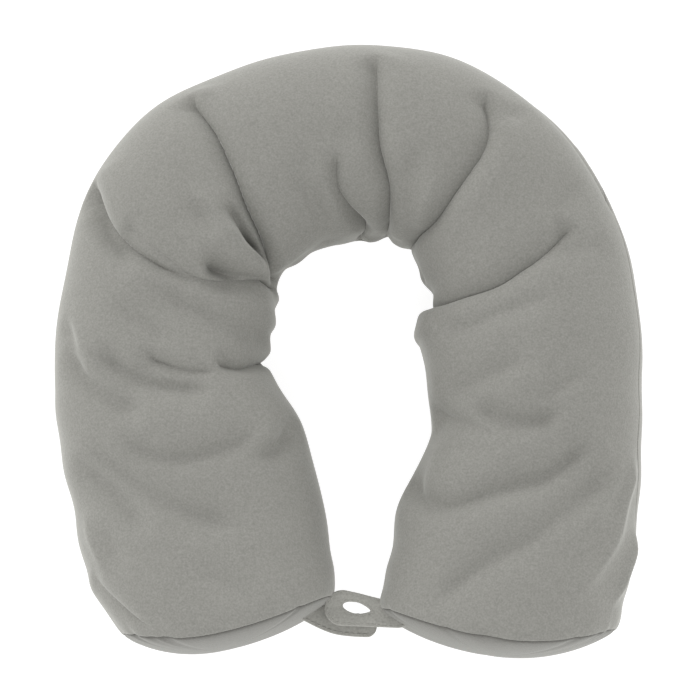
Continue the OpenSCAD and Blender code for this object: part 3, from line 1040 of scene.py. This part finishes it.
def area_light(name, place_at, size, watts):
    data = bpy.data.lights.new(name, "AREA")
    data.shape = "DISK"
    data.size = size
    data.energy = watts
    obj = bpy.data.objects.new(name, data)
    bpy.context.scene.collection.objects.link(obj)
    obj.location = place_at
    look_at(obj, (0, 0, 0))


HORIZON = 2.1  # brightness of the surroundings at the horizon and overhead
ZENITH = 0.35
FRONT = 0.7  # share of that brightness on the side of the tube's two ends


def studio():
    """Plain surroundings that are brightest at the horizon, two soft lights and a pale floor."""
    world = bpy.data.worlds.new("studio")
    world.use_nodes = True
    background = world.node_tree.nodes["Background"]
    put(background, Color=(1, 1, 1, 1))
    nodes = world.node_tree.nodes
    link = world.node_tree.links.new
    split = nodes.new("ShaderNodeSeparateXYZ")
    link(nodes.new("ShaderNodeTexCoord").outputs["Generated"], split.inputs["Vector"])
    by_height = nodes.new("ShaderNodeMapRange")
    put(by_height, To_Min=HORIZON, To_Max=ZENITH)
    link(split.outputs["Z"], by_height.inputs["Value"])
    by_side = nodes.new("ShaderNodeMapRange")
    put(by_side, From_Min=-1, From_Max=0.2, To_Min=FRONT)
    link(split.outputs["Y"], by_side.inputs["Value"])
    brightness = nodes.new("ShaderNodeMath")
    brightness.operation = "MULTIPLY"
    link(by_height.outputs["Result"], brightness.inputs[0])
    link(by_side.outputs["Result"], brightness.inputs[1])
    link(brightness.outputs["Value"], background.inputs["Strength"])
    bpy.context.scene.world = world
    bpy.context.scene.view_settings.view_transform = "Standard"
    area_light("key", (-1.0, 1.4, 0.7), 1.0, 8)
    area_light("fill", (0, -0.8, 1.5), 0.6, 6)
    bpy.ops.mesh.primitive_plane_add(size=8, location=(0, 0, 0))
    floor = bpy.context.object
    floor.name = "floor"
    paint = bpy.data.materials.new("floor")
    paint.use_nodes = True
    shader = paint.node_tree.nodes["Principled BSDF"]
    put(shader, Base_Color=(0.35, 0.35, 0.35, 1), Roughness=0.9, Emission_Color=(1, 1, 1, 1),
        Emission_Strength=0.86)
    floor.data.materials.append(paint)


# ---- Materials ----
def new_material(name):
    material = bpy.data.materials.new(name)
    material.use_nodes = True
    nodes = material.node_tree.nodes
    return material, nodes, material.node_tree.links, nodes["Principled BSDF"]


def noise(nodes, links, scale, detail, stretch=None):
    """A noise texture in the object's own metres, stretched along an axis if wanted."""
    where = nodes.new("ShaderNodeTexCoord")
    source = where.outputs["Object"]
    if stretch:
        squeeze = nodes.new("ShaderNodeMapping")
        put(squeeze, Scale=stretch)
        links.new(source, squeeze.inputs["Vector"])
        source = squeeze.outputs["Vector"]
    texture = nodes.new("ShaderNodeTexNoise")
    put(texture, Scale=scale, Detail=detail)
    links.new(source, texture.inputs["Vector"])
    return texture


def mixed(nodes, links, fine, coarse, share):
    """fine times share plus coarse, of two textures."""
    both = nodes.new("ShaderNodeMath")
    both.operation = "MULTIPLY_ADD"
    both.inputs[1].default_value = share
    links.new(fine.outputs["Fac"], both.inputs[0])
    links.new(coarse.outputs["Fac"], both.inputs[2])
    return both.outputs["Value"]


def coloured(nodes, links, value, stops, shader):
    """Base colour from a value through a ramp of (position, colour) stops."""
    ramp = nodes.new("ShaderNodeValToRGB")
    for element, (position, colour) in zip(ramp.color_ramp.elements, stops):
        element.position = position
        element.color = (*colour, 1)
    links.new(value, ramp.inputs["Fac"])
    links.new(ramp.outputs["Color"], shader.inputs["Base Color"])


def bumped(nodes, links, texture, shader, strength, height):
    bump = nodes.new("ShaderNodeBump")
    put(bump, Strength=strength, Distance=height)
    links.new(texture.outputs["Fac"], bump.inputs["Height"])
    links.new(bump.outputs["Normal"], shader.inputs["Normal"])


def cloth(name, dark, light, grain_scale, height, sheen=0.45):
    """Short-pile or knitted cloth: mottled where the pile leans, fine grain, a light bloom at the edges."""
    material, nodes, links, shader = new_material(name)
    mottle = noise(nodes, links, 420, 2)
    grain = noise(nodes, links, grain_scale, 2)
    value = mixed(nodes, links, mottle, grain, 0.3)
    coloured(nodes, links, value, [(0.42, dark), (0.88, light)], shader)
    put(shader, Roughness=0.95, Specular_IOR_Level=0.1, Sheen_Weight=sheen, Sheen_Roughness=0.4,
        Sheen_Tint=(0.92, 0.92, 0.88, 1))
    bumped(nodes, links, grain, shader, 0.35, height)
    return material


def beads():
    """Packed foam beads, seen only where the cover and the liner are opened, with shade painted between
    them.
    """
    material, nodes, links, shader = new_material("bead_fill")
    where = nodes.new("ShaderNodeTexCoord")
    cells = nodes.new("ShaderNodeTexVoronoi")
    put(cells, Scale=350)
    links.new(where.outputs["Object"], cells.inputs["Vector"])
    # Painted shade: each bead is pale at its middle and greyer towards its edge, where the packed beads
    # meet.
    ramp = nodes.new("ShaderNodeValToRGB")
    ramp.color_ramp.elements[0].color = (0.9, 0.9, 0.88, 1)
    ramp.color_ramp.elements[1].color = (0.5, 0.5, 0.48, 1)
    links.new(cells.outputs["Distance"], ramp.inputs["Fac"])
    links.new(ramp.outputs["Color"], shader.inputs["Base Color"])
    put(shader, Roughness=0.7)
    bump = nodes.new("ShaderNodeBump")
    bump.invert = True
    put(bump, Distance=0.0012)
    links.new(cells.outputs["Distance"], bump.inputs["Height"])
    links.new(bump.outputs["Normal"], shader.inputs["Normal"])
    return material


def enamel(name, dark, light, metallic, roughness):
    """Metal or nylon of one tone with faint wear: streaky roughness and a little colour change."""
    material, nodes, links, shader = new_material(name)
    wear = noise(nodes, links, 500, 4, (1, 1, 0.25))
    coloured(nodes, links, wear.outputs["Fac"], [(0.35, dark), (0.7, light)], shader)
    put(shader, Metallic=metallic)
    rough = nodes.new("ShaderNodeMapRange")
    put(rough, To_Min=roughness - 0.08, To_Max=roughness + 0.12)
    links.new(wear.outputs["Fac"], rough.inputs["Value"])
    links.new(rough.outputs["Result"], shader.inputs["Roughness"])
    bumped(nodes, links, wear, shader, 0.1, 0.0001)
    return material


# ---- Build ----
camera()
studio()
velour = cloth("velour", (0.226, 0.224, 0.206), (0.296, 0.293, 0.271), 1000, 0.0004)
# Painted shade: the end panels are the cover's own velour, painted darker to stand for the shade that falls
# on the tube's two ends.
shaded_end_velour = cloth("shaded_end_velour", (0.130, 0.128, 0.118), (0.171, 0.169, 0.156), 1000, 0.0004)
tape_cloth = cloth("strap_cloth", (0.30, 0.297, 0.274), (0.40, 0.396, 0.366), 900, 0.0005)
thread = cloth("thread", (0.31, 0.307, 0.283), (0.38, 0.376, 0.347), 1500, 0.0001)
knit = cloth("liner_knit", (0.62, 0.62, 0.6), (0.74, 0.74, 0.72), 900, 0.0003, 0.1)
zip_cloth = cloth("zip_tape", (0.17, 0.17, 0.155), (0.22, 0.22, 0.2), 1200, 0.0002, 0.1)
nylon = enamel("zip_coil", (0.14, 0.14, 0.13), (0.19, 0.19, 0.175), 0.0, 0.4)
grey_metal = enamel("zip_metal", (0.2, 0.2, 0.185), (0.3, 0.3, 0.28), 0.6, 0.38)
bright_metal = enamel("snap_metal", (0.5, 0.5, 0.48), (0.66, 0.66, 0.64), 1.0, 0.28)

cover = cover_grid()

for part, word in (("upper", "top"), ("lower", "bottom")):
    grid, normal, rows_s = panel_grid(cover, part == "upper")
    middle = int(np.argmin(np.abs(rows_s)))
    for hand, first, last in (("left", 0, middle + 1), ("right", middle, len(grid))):
        piece = panel(f"cover_{part}_{hand}", grid, normal, first, last, velour)
        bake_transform(piece)
        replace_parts(piece, f"cover_{hand}_{word}")
        if hand == "left":
            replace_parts(piece, f"cover_crown_{word}")

for hand in ("left", "right"):
    piece = end_panel(f"end_panel_{hand}", cover, hand == "left", shaded_end_velour, f"{hand}_arm")
    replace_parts(piece, f"cover_{hand}_end")

for word, slot, inset, closed, material in (("liner", "liner_knit", 2.5 * MM, False, knit),
                                            ("fill", "bead_fill", 3.5 * MM, True, beads())):
    inner = inner_grid(cover, inset)
    for hand in ("left", "right"):
        piece = inner_half(f"{word}_{hand}_half", inner, hand == "left", closed, material)
        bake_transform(piece)
        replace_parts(piece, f"{word}_{hand}")
        if hand == "left":
            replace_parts(piece, f"{word}_crown")

for word, sign in (("upper", 1), ("lower", -1)):
    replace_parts(zip_tape(f"zip_tape_{word}_edge", cover, sign, zip_cloth), f"zip_tape_{word}")
    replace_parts(zip_coil(f"zip_coil_{word}_turns", cover, sign, nylon), f"zip_coil_{word}")

strap_tab(tape_cloth, thread)
strap_loop(tape_cloth, thread)

for material, names in ((grey_metal, ("zip_top_stops", "zip_bottom_stop", "zip_slider", "zip_pull")),
                        (bright_metal, ("snap_stud", "snap_socket", "snap_spring"))):
    for name in names:
        node = frame["nodes"][name]
        node.data.materials.clear()
        node.data.materials.append(material)
